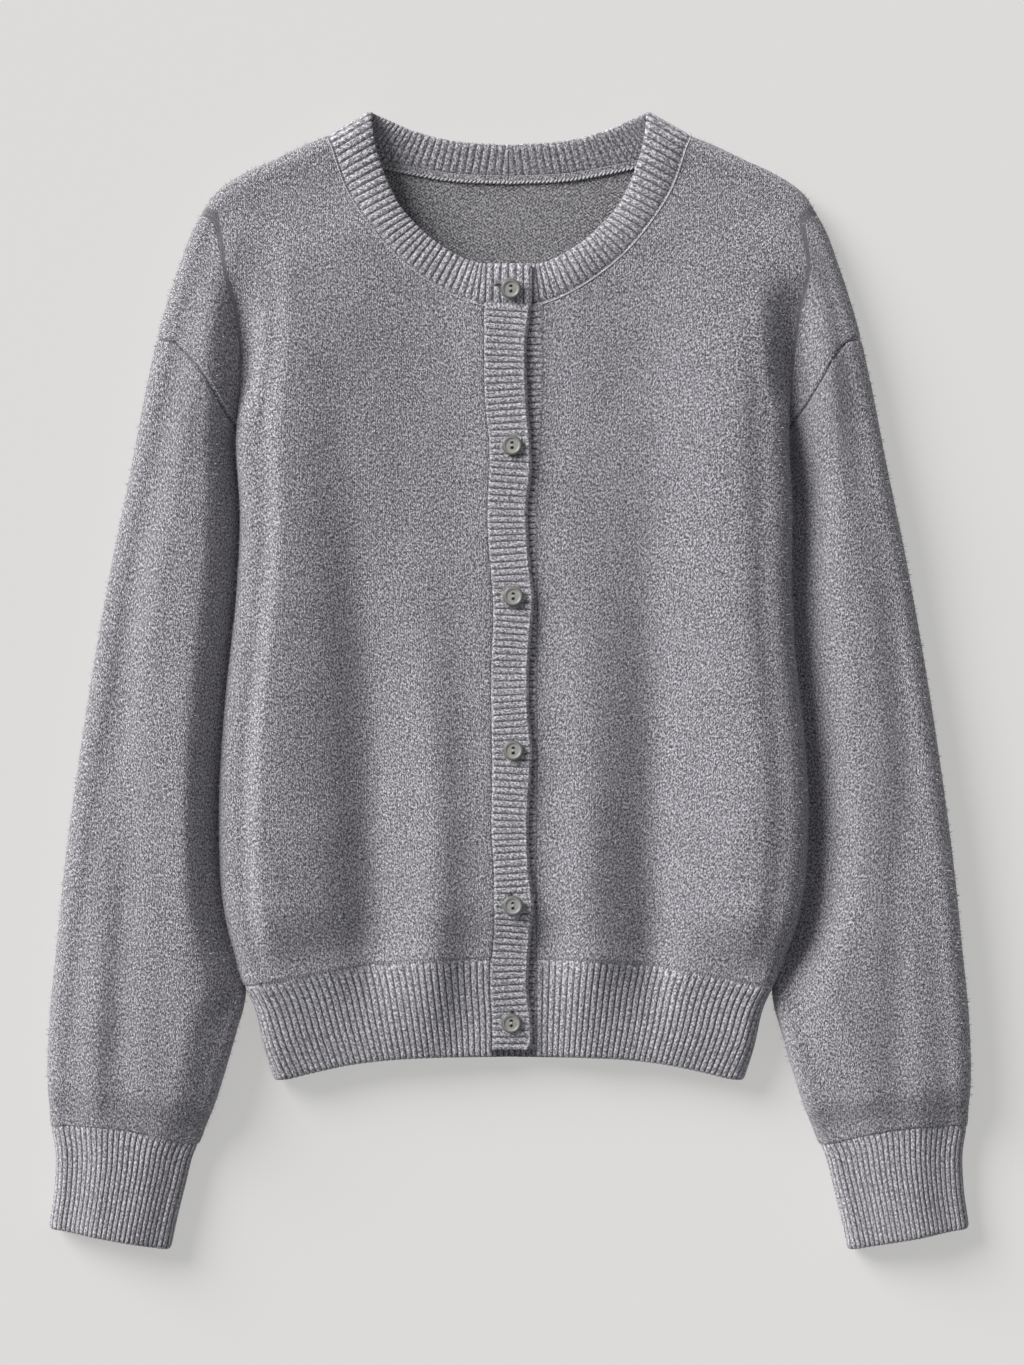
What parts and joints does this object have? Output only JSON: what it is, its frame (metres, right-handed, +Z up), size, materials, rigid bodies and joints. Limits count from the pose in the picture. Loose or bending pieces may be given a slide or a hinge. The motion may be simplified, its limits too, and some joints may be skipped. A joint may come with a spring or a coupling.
{
  "type": "knitted button cardigan",
  "caption": "Knitted crew-neck cardigan laid flat and buttoned up, with dropped shoulders, full sleeves, ribbed neckband, front band, hem and cuffs.",
  "frame": {"origin": "centre of the garment's plan, on the surface it lies on", "axes": "+X to the wearer's left, +Y from hem to neck, +Z up off the surface, out of the front"},
  "size_m": [0.573, 0.7059, 0.039],
  "materials": {
    "plain_knit": "brushed melange plain knit",
    "rib_knit": "brushed melange rib knit",
    "tape": "knitted tape",
    "button": "satin two-hole button"
  },
  "bodies": {
    "root": {"back": "plain_knit", "front_right": "plain_knit", "front_left": "plain_knit", "sleeve_right": "plain_knit", "sleeve_left": "plain_knit", "cuff_right": "rib_knit", "cuff_left": "rib_knit", "hem_back": "rib_knit", "hem_right": "rib_knit", "hem_left": "rib_knit", "neckband": "rib_knit", "placket_right": "rib_knit", "placket_left": "rib_knit", "neck_tape": "tape", "button_1": "button", "button_2": "button", "button_3": "button", "button_4": "button", "button_5": "button", "button_6": "button"}
  },
  "joints": []
}
